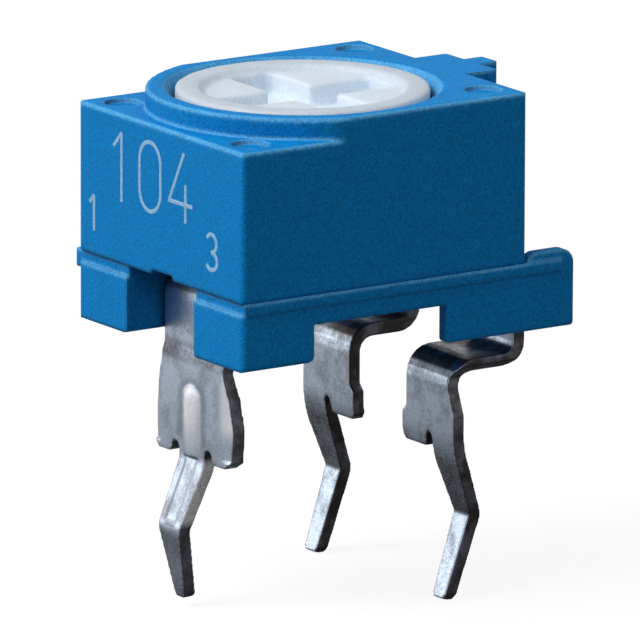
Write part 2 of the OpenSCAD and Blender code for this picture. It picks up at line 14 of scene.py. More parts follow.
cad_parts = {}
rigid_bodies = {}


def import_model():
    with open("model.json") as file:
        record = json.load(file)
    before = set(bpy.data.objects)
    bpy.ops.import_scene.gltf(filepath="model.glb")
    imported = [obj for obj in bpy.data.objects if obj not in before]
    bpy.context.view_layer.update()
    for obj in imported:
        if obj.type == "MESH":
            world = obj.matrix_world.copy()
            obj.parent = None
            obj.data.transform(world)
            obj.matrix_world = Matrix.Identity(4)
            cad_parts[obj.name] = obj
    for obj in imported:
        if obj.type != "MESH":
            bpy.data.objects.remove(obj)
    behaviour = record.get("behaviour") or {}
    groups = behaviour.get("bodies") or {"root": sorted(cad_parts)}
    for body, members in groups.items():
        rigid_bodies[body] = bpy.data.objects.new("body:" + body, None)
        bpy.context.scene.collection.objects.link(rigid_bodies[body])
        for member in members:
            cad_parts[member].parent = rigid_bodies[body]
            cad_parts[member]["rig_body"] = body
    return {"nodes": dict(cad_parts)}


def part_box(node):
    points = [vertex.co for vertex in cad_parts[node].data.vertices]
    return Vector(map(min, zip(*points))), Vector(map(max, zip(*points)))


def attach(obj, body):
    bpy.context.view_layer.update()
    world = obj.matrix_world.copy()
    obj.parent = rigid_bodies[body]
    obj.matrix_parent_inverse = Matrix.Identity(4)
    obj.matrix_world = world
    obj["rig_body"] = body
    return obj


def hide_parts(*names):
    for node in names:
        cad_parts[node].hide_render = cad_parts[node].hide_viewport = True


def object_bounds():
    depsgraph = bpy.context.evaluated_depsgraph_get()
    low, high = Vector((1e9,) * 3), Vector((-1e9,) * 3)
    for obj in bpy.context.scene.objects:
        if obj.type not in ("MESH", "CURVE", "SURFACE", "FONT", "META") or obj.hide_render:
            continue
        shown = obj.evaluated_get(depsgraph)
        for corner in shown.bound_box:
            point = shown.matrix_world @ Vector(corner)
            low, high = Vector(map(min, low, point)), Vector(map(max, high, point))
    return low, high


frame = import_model()

bl_info = {
    "name": "Trimmer Potentiometer",
    "version": (1, 0, 0),
    "blender": (4, 5, 0),
    "location": "View3D > Sidebar > Trimmer",
    "description": "Finishes a trimmer potentiometer on its frame and sets the stage",
    "category": "Object",
}

MM = 0.001
CAD_LOW, CAD_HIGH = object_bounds()
FACE_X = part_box("housing")[0].x

# Distance within which corners are welded, in millimetres
WELD = 0.0005
# Angle below which a seam is part of a flat, and above which an edge is rounded
FLAT_ANGLE = math.radians(0.6)
SHARP_ANGLE = math.radians(28.0)
# Share of the room beside an edge that its rounding may take
ROOM_SHARE = 0.3
# Grid cell that smooths the seal ring, as a multiple of the leads' cell
SEAL_CELL = 1.6
# Radius over which moulded edges are rounded in shading and get their painted highlight
EDGE_HIGHLIGHT_RADIUS = 0.15 * MM
# Distance within which a wall nearby darkens a moulded face, as painted shade
SHADE_REACH = 1.6 * MM

# Width of a numeral's cell, as a share of its height
CELL_WIDTH = 0.6
# Share of a stroke's width that slopes on each side
STROKE_SLOPE = 0.15
# How deep a stroke is sunk in the face
STROKE_SINK = 0.004 * MM
# How much higher each further stroke of a numeral lies, as a share of the first one's rise
STROKE_STEP = 0.3
# Name, numbers, height, pitch and middle (Y, Z) of each marking, in millimetres
MARKINGS = (
    ("value_code", "104", "code_height", 1.18, (0.40, 6.22)),
    ("end_number_left", "1", "end_height", 0.0, (2.64, 5.02)),
    ("end_number_right", "3", "end_height", 0.0, (-2.02, 5.02)),
)

# Point on the part that the camera looks at
AIM = Vector((0.3235, -0.2162, 2.6853)) * MM
# Half of the floor's side, in metres
FLOOR_HALF = 2.0
# Level of the light that falls on the floor, and level at which the camera sees the floor
FLOOR_LIGHT = 0.8
FLOOR_WHITE = 1.01
# Level at which gloss sees the floor under the part, a painted shade, and the radii in
# millimetres between which that level rises
FLOOR_NEAR = 0.06
FLOOR_RISE = (8.0, 34.0)
# Distance from the lamps to the part, in metres
LAMP_DISTANCE = 0.25
# Name, direction and width in metres of each lamp; the stage's settings hold its level
LAMPS = (
    ("key", (-0.62, 0.10, 0.74), 0.14),
    ("overhead", (0.25, -0.1, 1.0), 0.20),
    ("fill", (0.40, -0.72, 0.57), 0.16),
    ("card", (-0.57, 0.81, 0.16), 0.14),
)


class TrimmerSizes(bpy.types.PropertyGroup):
    """Small sizes that only the looks need."""

    moulded_edge: bpy.props.FloatProperty(
        name="Moulded edge",
        description="Radius that softens the mouldings, the ceramic plate and the resin",
        default=0.05 * MM, unit="LENGTH")
    rotor_cell: bpy.props.FloatProperty(
        name="Rotor cell", description="Grid cell that rounds the rotor's dish and recess",
        default=0.045 * MM, unit="LENGTH")
    film_edge: bpy.props.FloatProperty(
        name="Film edge",
        description="Radius that softens the films, the solder and the contact spring",
        default=0.008 * MM, unit="LENGTH")
    sheet_cell: bpy.props.FloatProperty(
        name="Sheet cell", description="Grid cell that rounds the stamped leads",
        default=0.03 * MM, unit="LENGTH")
    code_height: bpy.props.FloatProperty(
        name="Code height", description="Height of the value code's digits",
        default=1.52 * MM, unit="LENGTH")
    end_height: bpy.props.FloatProperty(
        name="End number height", description="Height of the small numbers at the ends",
        default=0.78 * MM, unit="LENGTH")
    stroke: bpy.props.FloatProperty(
        name="Stroke", description="Width of a marked stroke",
        default=0.105 * MM, unit="LENGTH")
    stroke_rise: bpy.props.FloatProperty(
        name="Stroke rise", description="How far a marked stroke stands off the face",
        default=0.006 * MM, unit="LENGTH")


class TrimmerFinish(bpy.types.PropertyGroup):
    """Colours of the finishes."""

    moulding: bpy.props.FloatVectorProperty(
        name="Moulding", description="Blue of the housing and the base",
        default=(0.001, 0.222, 0.590), subtype="COLOR", size=3)
    # painted highlight: paler blue laid along the moulded edges
    moulding_highlight: bpy.props.FloatVectorProperty(
        name="Moulding, pale", description="Rubbed blue along the moulded edges",
        default=(0.110, 0.430, 0.760), subtype="COLOR", size=3)
    marking: bpy.props.FloatVectorProperty(
        name="Marking", description="Pale colour of the marked numbers",
        default=(0.35, 0.60, 0.82), subtype="COLOR", size=3)
    # the blue tint of this white is painted bluish light
    rotor: bpy.props.FloatVectorProperty(
        name="Rotor", description="White of the rotor",
        default=(0.66, 0.745, 0.84), subtype="COLOR", size=3)
    tin: bpy.props.FloatVectorProperty(
        name="Tin", description="Bright tin plate of the leads",
        default=(0.68, 0.78, 0.94), subtype="COLOR", size=3)
    # painted highlight: pale tin laid on the front lead's rib, margin and pin edges
    painted_highlight: bpy.props.FloatVectorProperty(
        name="Rubbed tin", description="Bright tin where the front lead's rib is rubbed",
        default=(0.95, 0.95, 0.97), subtype="COLOR", size=3)
    # also the painted shade on the flanks of the front lead's rib
    tarnish_and_shade: bpy.props.FloatVectorProperty(
        name="Tarnish", description="Dull patches of the tin plate",
        default=(0.20, 0.23, 0.26), subtype="COLOR", size=3)
    # the bare cut edges, made darker also as painted shade; also painted shade on faces turned
    # downwards and in the crease under the housing
    sheared_and_shade: bpy.props.FloatVectorProperty(
        name="Sheared edge", description="Bare sheared edges of the leads",
        default=(0.045, 0.040, 0.042), subtype="COLOR", size=3)
    # painted shade: brown on faces turned upwards, the strips' tops under the base
    upward_shade: bpy.props.FloatVectorProperty(
        name="Scorched tin", description="Brownish tin on the strips close to the base",
        default=(0.13, 0.09, 0.062), subtype="COLOR", size=3)
    # share of the dark edge colour on faces turned sideways, partly bare metal and partly painted
    # shade
    sheared_shade_front: bpy.props.FloatProperty(
        name="Sheared share, front", description="Bare metal on the front lead's edges",
        default=0.85, min=0.0, max=1.0, subtype="FACTOR")
    sheared_shade_rear: bpy.props.FloatProperty(
        name="Sheared share, rear", description="Bare metal on the rear leads' edges",
        default=0.95, min=0.0, max=1.0, subtype="FACTOR")


class TrimmerStage(bpy.types.PropertyGroup):
    """Light and camera."""

    key: bpy.props.FloatProperty(
        name="Key light", description="Level that the key light gives a white card",
        default=0.91, min=0.0)
    fill: bpy.props.FloatProperty(
        name="Fill light", description="Level that the fill light gives a white card",
        default=0.12, min=0.0)
    overhead: bpy.props.FloatProperty(
        name="Overhead light", description="Level that the overhead light gives a white card",
        default=0.06, min=0.0)
    card: bpy.props.FloatProperty(
        name="Card", description="Level of the card that the bent pins mirror",
        default=0.12, min=0.0)
    sky: bpy.props.FloatProperty(
        name="Sky", description="Level of the light from all round", default=0.20, min=0.0)
    floor_grey: bpy.props.FloatProperty(
        name="Floor grey", description="Share of the light that the floor throws back",
        default=0.15, min=0.0, max=1.0, subtype="FACTOR")
    sky_gloss: bpy.props.FloatProperty(
        name="Sky in gloss", description="How bright glossy pieces see the sky",
        default=0.55, min=0.0, max=1.0, subtype="FACTOR")
    floor_gloss: bpy.props.FloatProperty(
        name="Floor in gloss", description="How bright glossy pieces see the far floor",
        default=0.46, min=0.0, max=1.0, subtype="FACTOR")
    azimuth: bpy.props.FloatProperty(
        name="Azimuth", description="Turn of the view from the +Y direction towards +X",
        default=math.radians(33.761), subtype="ANGLE", unit="ROTATION")
    elevation: bpy.props.FloatProperty(
        name="Elevation", description="How far the camera looks down",
        default=math.radians(13.158), subtype="ANGLE", unit="ROTATION")
    roll: bpy.props.FloatProperty(
        name="Roll", description="Turn of the camera about its own axis",
        default=math.radians(0.160), subtype="ANGLE", unit="ROTATION")
    distance: bpy.props.FloatProperty(
        name="Distance", description="From the camera to the point it looks at",
        default=316.404 * MM, unit="LENGTH")
    lens: bpy.props.FloatProperty(
        name="Lens", description="Focal length in millimetres", default=824.163)


class Graph:
    """One material's node tree. Its node method adds any node and gives an output."""

    def __init__(self, tree):
        self.tree = tree
        tree.nodes.clear()

    def node(self, kind, settings=None, inputs=None, output=0):
        """Adds a node, sets it up, feeds its sockets and wraps one output."""
        made = self.tree.nodes.new(kind)
        for key, value in (settings or {}).items():
            setattr(made, key, value)
        for key, value in (inputs or {}).items():
            if isinstance(value, Socket):
                self.tree.links.new(value.socket, made.inputs[key])
            else:
                made.inputs[key].default_value = value
        return Socket(self, made.outputs[output]) if made.outputs else None

    def mix(self, factor, low, high):
        """A colour between two colours."""
        return self.node("ShaderNodeMix", {"data_type": "RGBA"},
                         {0: factor, 6: rgba(low), 7: rgba(high)}, output=2)

    def shaded(self, colour, level):
        """A colour made darker or lighter by a level."""
        tone = self.node("ShaderNodeCombineColor", None,
                         {"Red": level, "Green": level, "Blue": level})
        return self.node("ShaderNodeMix", {"data_type": "RGBA", "blend_type": "MULTIPLY"},
                         {0: 1.0, 6: rgba(colour), 7: tone}, output=2)

    def place(self):
        """Position on the piece in millimetres."""
        spot = self.node("ShaderNodeTexCoord", output="Object")
        return self.node("ShaderNodeVectorMath", {"operation": "SCALE"},
                         {"Vector": spot, "Scale": 1 / MM})

    def stretch(self, vector, by):
        """A vector with its three parts scaled."""
        return self.node("ShaderNodeVectorMath", {"operation": "MULTIPLY"}, {0: vector, 1: by})

    def noise(self, vector, scale, detail=2.0, roughness=0.5):
        """Noise round 0.5, with its scale in cells per millimetre."""
        return self.node("ShaderNodeTexNoise", None,
                         {"Vector": vector, "Scale": scale, "Detail": detail,
                          "Roughness": roughness})

    def smooth(self, value, low, high):
        """0 below low, 1 above high, and a smooth step between."""
        return self.node("ShaderNodeMapRange", {"interpolation_type": "SMOOTHSTEP"},
                         {"Value": value, "From Min": low, "From Max": high})

    def band(self, value, rise, fall):
        """0, then 1 from the end of the rise to the start of the fall, then 0 again."""
        return self.smooth(value, *rise) - self.smooth(value, *fall)

    def bump(self, height, strength, depth, base=None):
        """A normal from a height, with the depth of its relief in metres."""
        inputs = {"Height": height, "Strength": strength, "Distance": depth}
        if base is not None:
            inputs["Normal"] = base
        return self.node("ShaderNodeBump", None, inputs)

    def soft(self, radius):
        """A normal that rounds the edges within a radius."""
        return self.node("ShaderNodeBevel", {"samples": 8}, {"Radius": radius})

    def edge(self, soft):
        """About 0 on flat stretches and more on outer and inner edges, from a soft normal."""
        flat = self.node("ShaderNodeNewGeometry", output="True Normal")
        same = self.node("ShaderNodeVectorMath", {"operation": "DOT_PRODUCT"},
                         {0: soft, 1: flat}, output="Value")
        return 1 - same

    def on_piece(self, normal):
        """A world normal, turned to the axes of the piece."""
        return self.node("ShaderNodeVectorTransform",
                         {"vector_type": "NORMAL", "convert_from": "WORLD",
                          "convert_to": "OBJECT"}, {"Vector": normal})

    def openness(self, within):
        """1 where nothing stands within a distance of a face, and less in notches and gaps."""
        return self.node("ShaderNodeAmbientOcclusion", {"samples": 8}, {"Distance": within},
                         output="AO")

    def part(self, vector, axis):
        """One of the three parts of a vector."""
        return self.node("ShaderNodeSeparateXYZ", None, {"Vector": vector}, output=axis)

    def facing(self, axis):
        """How much a face looks along one axis of the piece, from -1 to 1."""
        return self.part(self.node("ShaderNodeTexCoord", output="Normal"), axis)

    def finish(self, **sockets):
        """The shader itself and the material's output."""
        names = {key.replace("_", " "): value for key, value in sockets.items()}
        shader = self.node("ShaderNodeBsdfPrincipled", None, names)
        self.node("ShaderNodeOutputMaterial", None, {"Surface": shader})


class Socket:
    """An output of a node. Arithmetic on it adds Math nodes."""

    def __init__(self, graph, socket):
        self.graph = graph
        self.socket = socket

    def math(self, operation, first, second):
        return self.graph.node("ShaderNodeMath", {"operation": operation}, {0: first, 1: second})

    def __add__(self, other):
        return self.math("ADD", self, other)

    def __radd__(self, other):
        return self.math("ADD", other, self)

    def __sub__(self, other):
        return self.math("SUBTRACT", self, other)

    def __rsub__(self, other):
        return self.math("SUBTRACT", other, self)

    def __mul__(self, other):
        return self.math("MULTIPLY", self, other)

    def __rmul__(self, other):
        return self.math("MULTIPLY", other, self)


def rgba(colour):
    """A socket as it is, or a plain colour with its alpha."""
    return colour if isinstance(colour, Socket) else (*colour, 1.0)


def new_graph(name):
    """An empty material and its graph."""
    material = bpy.data.materials.new(name)
    material.use_nodes = True
    return material, Graph(material.node_tree)


def moulded_blue(finish):
    """Matt moulded thermoplastic with a fine speckle, a painted highlight along its edges and
    painted shade in notches and gaps.
    """
    material, g = new_graph("moulded_blue")
    spot = g.place()
    grain = g.smooth(g.noise(spot, 21.0, 2.0, 0.6), 0.32, 0.68)
    cloud = g.noise(spot, 1.1, 2.0)
    # painted highlight: where the softened normal leans between level and upright along the upper
    # edges the blue is palest, and every rounded edge is a little paler
    soft = g.soft(EDGE_HIGHLIGHT_RADIUS)
    crown = g.band(g.part(g.on_piece(soft), "Z"), (0.04, 0.36), (0.78, 0.985))
    painted_highlight = (crown * 0.9 + g.smooth(g.edge(soft), 0.01, 0.20) * 0.3) * (0.40 + cloud * 0.7)
    shade = g.mix(painted_highlight, finish.moulding, finish.moulding_highlight)
    # painted shade: faces near walls, in notches and gaps, are darkened
    open_air = g.smooth(g.openness(SHADE_REACH), 0.10, 0.75)
    level = (0.72 + grain * 0.50 + cloud * 0.08) * (0.45 + open_air * 0.55)
    relief = g.noise(spot, 9.0, 4.0, 0.65)
    g.finish(Base_Color=g.shaded(shade, level), Roughness=0.52 + grain * 0.10,
             Normal=g.bump(relief, 0.35, 0.006 * MM, soft), Specular_IOR_Level=0.12)
    return material


def moulded_white(finish):
    """White moulded plastic, greyer on its rim as painted shade and brighter down in its recess
    as painted light.
    """
    material, g = new_graph("moulded_white")
    # squares of the radii where the dish turns into the rim, and heights of the recess's
    # floor and lip, all in millimetres
    rim_start, recess = (4.0, 5.5), (7.25, 7.62)
    spot = g.place()
    grain = g.smooth(g.noise(spot, 12.0, 2.0, 0.6), 0.30, 0.70)
    cloud = g.noise(spot, 0.9, 2.0)
    x, y, z = (g.part(spot, axis) for axis in "XYZ")
    rim = g.smooth(x * x + y * y, *rim_start)
    deep = 1 - g.smooth(z, *recess)
    # painted shade darkens the rim and painted light brightens the recess
    level = (0.91 + grain * 0.11 + cloud * 0.08) * (1 - rim * 0.19) * (1 + deep * 0.16)
    relief = g.noise(spot, 8.0, 4.0, 0.6)
    g.finish(Base_Color=g.shaded(finish.rotor, level), Roughness=0.46 + grain * 0.12,
             Normal=g.bump(relief, 0.3, 0.006 * MM),
             Subsurface_Weight=0.6, Subsurface_Radius=(1.0, 1.0, 1.0), Subsurface_Scale=0.9 * MM)
    return material


def front_painted_light_and_fold(g, finish, spot, colour, patch, dirt, sheared_and_shade):
    """Marks of the front lead alone: its new colour, its share of metal and a relief.

    The rib, the plate's right margin and the pin's edges get a painted highlight, pale and less
    metallic; the rib's flanks and the crease under the housing get painted shade, and the relief
    is a low fold down the middle of the pin.
    """
    # heights in millimetres above the board between which each mark comes or goes
    rib_foot, rib_top = (-0.3, 1.3), (1.40, 2.10)
    flank_foot = (0.2, 0.5)
    margin_foot, margin_top = (0.55, 0.95), (1.75, 2.05)
    pin_foot, pin_top = (-1.45, -1.25), (-0.1, 0.1)
    crease_foot, crease_top = (2.02, 2.14), (2.30, 2.62)
    y, z = (g.part(spot, axis) for axis in "YZ")
    # the distance from the rib's middle line, squared, which grows above its round top
    arch = y * y + g.smooth(z, *rib_top) * 0.6
    # painted shade on the rib's flanks
    flank = g.band(arch, (0.10, 0.17), (0.20, 0.38)) * g.smooth(z, *flank_foot)
    colour = g.mix(flank * 0.45, colour, finish.tarnish_and_shade)
    margin = g.smooth(0 - y, 0.95, 1.40) * g.band(z, margin_foot, margin_top)
    pin = g.band(z, pin_foot, pin_top)
    # painted highlight on the rib's crest, the plate's right margin and the pin's sideways edges
    crest = (1 - g.smooth(arch, 0.02, 0.15)) * g.smooth(z, *rib_foot) + margin * 0.9
    crest = crest * (1 - sheared_and_shade) + sheared_and_shade * pin * 0.7
    crest = crest * (0.25 + patch * 0.8 + dirt * 0.5)
    colour = g.mix(crest, colour, finish.painted_highlight)
    # painted shade in the crease under the housing
    crease = g.band(z, crease_foot, crease_top)
    colour = g.mix(crease * (0.35 + patch * 0.6), colour, finish.sheared_and_shade)
    fold = (1 - g.smooth(y * y, 0.01, 0.07)) * pin
    # the painted highlight is also made less metallic
    return colour, 1 - crest * 0.85, fold


def tinned_sheet(finish, name, sheared_shade_share, front):
    """Satin tin plate on stamped strip: rolled grain, tarnished patches and cut edges, with
    painted shade on the cut edges and on faces turned downwards and upwards.
    """
    material, g = new_graph(name)
    spot = g.place()
    rolled = g.noise(g.stretch(spot, (22.0, 2.5, 26.0)), 1.0, 4.0, 0.65)
    patch = g.noise(spot, 1.7, 5.0, 0.62)
    speck = g.noise(spot, 20.0, 2.0, 0.7)
    scratch = g.smooth(g.noise(g.stretch(spot, (9.0, 0.8, 9.0)), 1.0, 6.0, 0.75), 0.60, 0.72)
    dirt = g.smooth(speck, 0.35, 0.65)
    sideways, upwards = g.facing("Y"), g.facing("Z")
    # faces turned sideways are the cut edges; their dark colour is partly bare metal and partly
    # painted shade
    sheared_and_shade = g.smooth(sideways * sideways, 0.30, 0.72)
    # painted shade: faces turned downwards are darkened
    under = g.smooth(0 - upwards, 0.08, 0.35)
    # painted shade: faces turned upwards, the strips' tops under the base, are browned
    upward_shade = g.smooth(upwards, 0.25, 0.70) * (0.40 + g.smooth(patch, 0.35, 0.6) * 0.5)
    dull_and_shade = g.smooth(patch, 0.42, 0.66) * 0.42 + scratch * 0.25 + dirt * 0.34 + under * dirt * 0.5
    colour = g.mix(dull_and_shade, finish.tin, finish.tarnish_and_shade)
    colour = g.mix(under * (0.10 + patch * 0.6), colour, finish.sheared_and_shade)
    colour = g.mix(upward_shade, colour, finish.upward_shade)
    colour = g.mix(sheared_and_shade * sheared_shade_share * (0.6 + patch * 0.8), colour, finish.sheared_and_shade)
    relief = rolled * 0.5 + speck * 0.35 + scratch * 0.25
    if front:
        colour, metal, fold = front_painted_light_and_fold(g, finish, spot, colour, patch, dirt, sheared_and_shade)
        normal = g.bump(relief * 0.08 + fold, 0.35, 0.09 * MM)
    else:
        metal, normal = 1.0, g.bump(relief, 0.35, 0.008 * MM)
    g.finish(Base_Color=colour, Metallic=metal,
             Roughness=0.22 + rolled * 0.16 + dull_and_shade * 0.20 + sheared_and_shade * 0.10, Normal=normal)
    return material


def plain_finish(name, colour, second, roughness, metallic=0.0, scale=6.0, depth=0.004):
    """A finish of two near colours in fine noise, for the pieces inside."""
    material, g = new_graph(name)
    grain = g.noise(g.place(), scale, 4.0, 0.6)
    g.finish(Base_Color=g.mix(g.smooth(grain, 0.35, 0.65), colour, second), Metallic=metallic,
             Roughness=roughness + grain * 0.12, Normal=g.bump(grain, 0.3, depth * MM))
    return material


def marking_pale(finish):
    """Pale marking, a little uneven where it has taken less."""
    material, g = new_graph("marking_pale")
    grain = g.noise(g.place(), 14.0, 3.0, 0.7)
    worn = g.mix(0.35, finish.marking, finish.moulding)
    g.finish(Base_Color=g.mix(g.smooth(grain, 0.36, 0.66), worn, finish.marking),
             Roughness=0.55 + grain * 0.15, Normal=g.bump(grain, 0.3, 0.004 * MM))
    return material


def evaluated(mesh, modifiers):
    """The mesh with a list of (type, settings) modifiers applied."""
    holder = bpy.data.objects.new("holder", mesh)
    bpy.context.scene.collection.objects.link(holder)
    for kind, settings in modifiers:
        modifier = holder.modifiers.new(kind.lower(), kind)
        for key, value in settings.items():
            setattr(modifier, key, value)
    done = bpy.data.meshes.new_from_object(
        holder.evaluated_get(bpy.context.evaluated_depsgraph_get()))
    bpy.data.objects.remove(holder)
    return done


def gap_to(point, start, end):
    """Distance from a point to a straight stretch."""
    along = end - start
    share = max(0.0, min(1.0, (point - start).dot(along) / along.length_squared))
    return (point - start - along * share).length


def room_beside(edge):
    """Distance from an edge to the nearest other edge of the faces beside it."""
    first, last = (v.co for v in edge.verts)
    rooms = [e.calc_length() for v in edge.verts for e in v.link_edges if e is not edge]
    for other in {e for face in edge.link_faces for e in face.edges}:
        start, end = (v.co for v in other.verts)
        if not {*other.verts} & {*edge.verts}:
            rooms += [gap_to(start, first, last), gap_to(end, first, last),
                      gap_to(first, start, end), gap_to(last, start, end)]
    return min(rooms)


def weigh_edges(bm, radius):
    """Gives each sharp edge the share of the radius that its surroundings leave room for."""
    weight = bm.edges.layers.float.new("bevel_weight_edge")
    for edge in bm.edges:
        if len(edge.link_faces) == 2 and edge.calc_face_angle() > SHARP_ANGLE:
            edge[weight] = min(1.0, ROOM_SHARE * room_beside(edge) / radius)


def node_mesh(node, radius):
    """A frame node's mesh in millimetres, welded; its flats are made whole for rounding."""
    mesh = bpy.data.meshes.new(node)
    bm = bmesh.new()
    bm.from_mesh(frame["nodes"][node].data)
    bmesh.ops.scale(bm, vec=(1 / MM,) * 3, verts=bm.verts)
    bmesh.ops.remove_doubles(bm, verts=bm.verts, dist=WELD)
    if radius:
        bmesh.ops.dissolve_limit(bm, angle_limit=FLAT_ANGLE, verts=bm.verts, edges=bm.edges)
        weigh_edges(bm, radius / MM)
    bm.to_mesh(mesh)
    bm.free()
    return mesh


def dress(node, name, material, modifiers, radius=0.0):
    """Shows a rounded and finished piece in place of a frame node."""
    mesh = evaluated(node_mesh(node, radius), modifiers)
    mesh.transform(Matrix.Scale(MM, 4))
    mesh.materials.clear()
    mesh.materials.append(material)
    piece = bpy.data.objects.new(name, mesh)
    bpy.context.scene.collection.objects.link(piece)
    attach(piece, frame["nodes"][node]["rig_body"])
    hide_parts(node)


def dress_rounded(node, name, material, radius):
    """Shows a moulded piece with its edges rounded and its flats kept flat."""
    dress(node, name, material, [
        ("BEVEL", {"width": radius / MM, "segments": 2, "limit_method": "WEIGHT",
                   "use_clamp_overlap": False}),
        ("WEIGHTED_NORMAL", {"weight": 60, "keep_sharp": False}),
    ], radius)


def stamped(cell, passes=4):
    """Modifiers that round a piece's edges slightly, in a grid of cells."""
    return [
        ("REMESH", {"mode": "VOXEL", "voxel_size": cell / MM, "use_smooth_shade": True}),
        ("SMOOTH", {"factor": 0.5, "iterations": passes}),
    ]


def arc(centre, radius, start, end, steps):
    """Points of an ellipse's arc, with its angles in degrees."""
    angles = [math.radians(start + (end - start) * i / steps) for i in range(steps + 1)]
    return [Vector((centre[0] + radius[0] * math.cos(angle),
                    centre[1] + radius[1] * math.sin(angle))) for angle in angles]


def straight(start, end):
    """The two ends of a straight stroke."""
    return [Vector(start), Vector(end)]


def numeral_strokes(numeral):
    """Strokes of a plain numeral in a cell 0.6 wide and 1 high."""
    strokes = {
        "0": [arc((0.30, 0.70), (0.27, 0.30), 90, 180, 8)
              + arc((0.30, 0.30), (0.27, 0.30), 180, 360, 16)
              + arc((0.30, 0.70), (0.27, 0.30), 0, 90, 8)],
        "1": [straight((0.34, 1.0), (0.34, 0.0)), straight((0.14, 0.78), (0.35, 1.0))],
        "3": [arc((0.28, 0.75), (0.25, 0.25), 150, -90, 12),
              arc((0.28, 0.25), (0.28, 0.25), 90, -150, 12)],
        "4": [straight((0.00, 0.26), (0.62, 0.26)), straight((0.02, 0.26), (0.40, 1.0)),
              straight((0.44, 0.55), (0.44, 0.0))],
    }
    return strokes[numeral]


def add_ribbon(bm, points, width, low, high):
    """Adds a closed flat ribbon along points of a plane, between two heights."""
    rings = []
    for i, point in enumerate(points):
        ahead = points[i + 1] - point if i + 1 < len(points) else point - points[i - 1]
        behind = point - points[i - 1] if i else ahead
        bisector = (ahead.normalized() + behind.normalized()).normalized()
        across = Vector((-bisector.y, bisector.x))
        # wider at a bend, so that the ribbon keeps its width, up to twice as wide
        half = width / 2 / max(0.5, bisector.dot(ahead.normalized()))
        left, right = point + across * half, point - across * half
        rings.append([bm.verts.new((p.x, p.y, h)) for p, h in (
            (left, low),
            (left * (1 - STROKE_SLOPE) + right * STROKE_SLOPE, high),
            (left * STROKE_SLOPE + right * (1 - STROKE_SLOPE), high),
            (right, low))])
    for first, second in zip(rings, rings[1:]):
        for k in range(4):
            bm.faces.new((first[k], first[(k + 1) % 4], second[(k + 1) % 4], second[k]))
    bm.faces.new(list(reversed(rings[0])))
    bm.faces.new(rings[-1])


def marked_text(name, text, height, pitch, middle, sizes, material):
    """Numbers marked on the front face, read from -X, about a middle (Y, Z)."""
    bm = bmesh.new()
    width = (len(text) - 1) * pitch + CELL_WIDTH * height
    for place, numeral in enumerate(text):
        for order, stroke in enumerate(numeral_strokes(numeral)):
            points = [Vector((place * pitch + p.x * height - width / 2, (p.y - 0.5) * height))
                      for p in stroke]
            # a stroke that crosses another lies a little above it
            add_ribbon(bm, points, sizes.stroke, -STROKE_SINK,
                       sizes.stroke_rise * (1 + STROKE_STEP * order))
    bmesh.ops.recalc_face_normals(bm, faces=bm.faces)
    # the text's right becomes -Y, its up becomes +Z and its relief looks to -X
    stand = Matrix(((0, 0, -1, FACE_X), (-1, 0, 0, middle[0]), (0, 1, 0, middle[1]),
                    (0, 0, 0, 1)))
    bm.transform(stand)
    mesh = bpy.data.meshes.new(name)
    bm.to_mesh(mesh)
    bm.free()
    mesh.materials.append(material)
    piece = bpy.data.objects.new(name, mesh)
    bpy.context.scene.collection.objects.link(piece)
    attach(piece, "body")


class TRIMMER_OT_mouldings(bpy.types.Operator):
    """Blue housing and base with soft moulded edges"""

    bl_idname = "trimmer.mouldings"
    bl_label = "Mouldings"

    def execute(self, context):
        blue = moulded_blue(context.scene.trimmer_finish)
        edge = context.scene.trimmer_sizes.moulded_edge
        dress_rounded("housing", "moulded_housing", blue, edge)
        dress_rounded("base", "moulded_base", blue, edge)
        return {"FINISHED"}


class TRIMMER_OT_rotor(bpy.types.Operator):
    """White rotor with its seal ring and contact spring"""

    bl_idname = "trimmer.rotor"
    bl_label = "Rotor"

    def execute(self, context):
        sizes = context.scene.trimmer_sizes
        white = moulded_white(context.scene.trimmer_finish)
        rubber = plain_finish("seal_rubber", (0.020, 0.020, 0.022), (0.035, 0.035, 0.038),
                              roughness=0.45)
        spring = plain_finish("contact_brass", (0.74, 0.56, 0.28), (0.62, 0.45, 0.22),
                              roughness=0.22, metallic=1.0, scale=9.0)
        dress("rotor", "moulded_rotor", white, stamped(sizes.rotor_cell, passes=8))
        dress("seal_ring", "rubber_seal", rubber, stamped(sizes.sheet_cell * SEAL_CELL, passes=2))
        dress_rounded("wiper", "contact_spring", spring, sizes.film_edge)
        return {"FINISHED"}


class TRIMMER_OT_leads(bpy.types.Operator):
    """Three stamped and folded leads with their tin plate"""

    bl_idname = "trimmer.leads"
    bl_label = "Leads"

    def execute(self, context):
        cell = context.scene.trimmer_sizes.sheet_cell
        finish = context.scene.trimmer_finish
        front = tinned_sheet(finish, "tinned_front", finish.sheared_shade_front, front=True)
        rear = tinned_sheet(finish, "tinned_rear", finish.sheared_shade_rear, front=False)
        dress("wiper_terminal", "front_lead", front, stamped(cell))
        dress("end_terminal_left", "rear_lead_left", rear, stamped(cell))
        dress("end_terminal_right", "rear_lead_right", rear, stamped(cell))
        return {"FINISHED"}


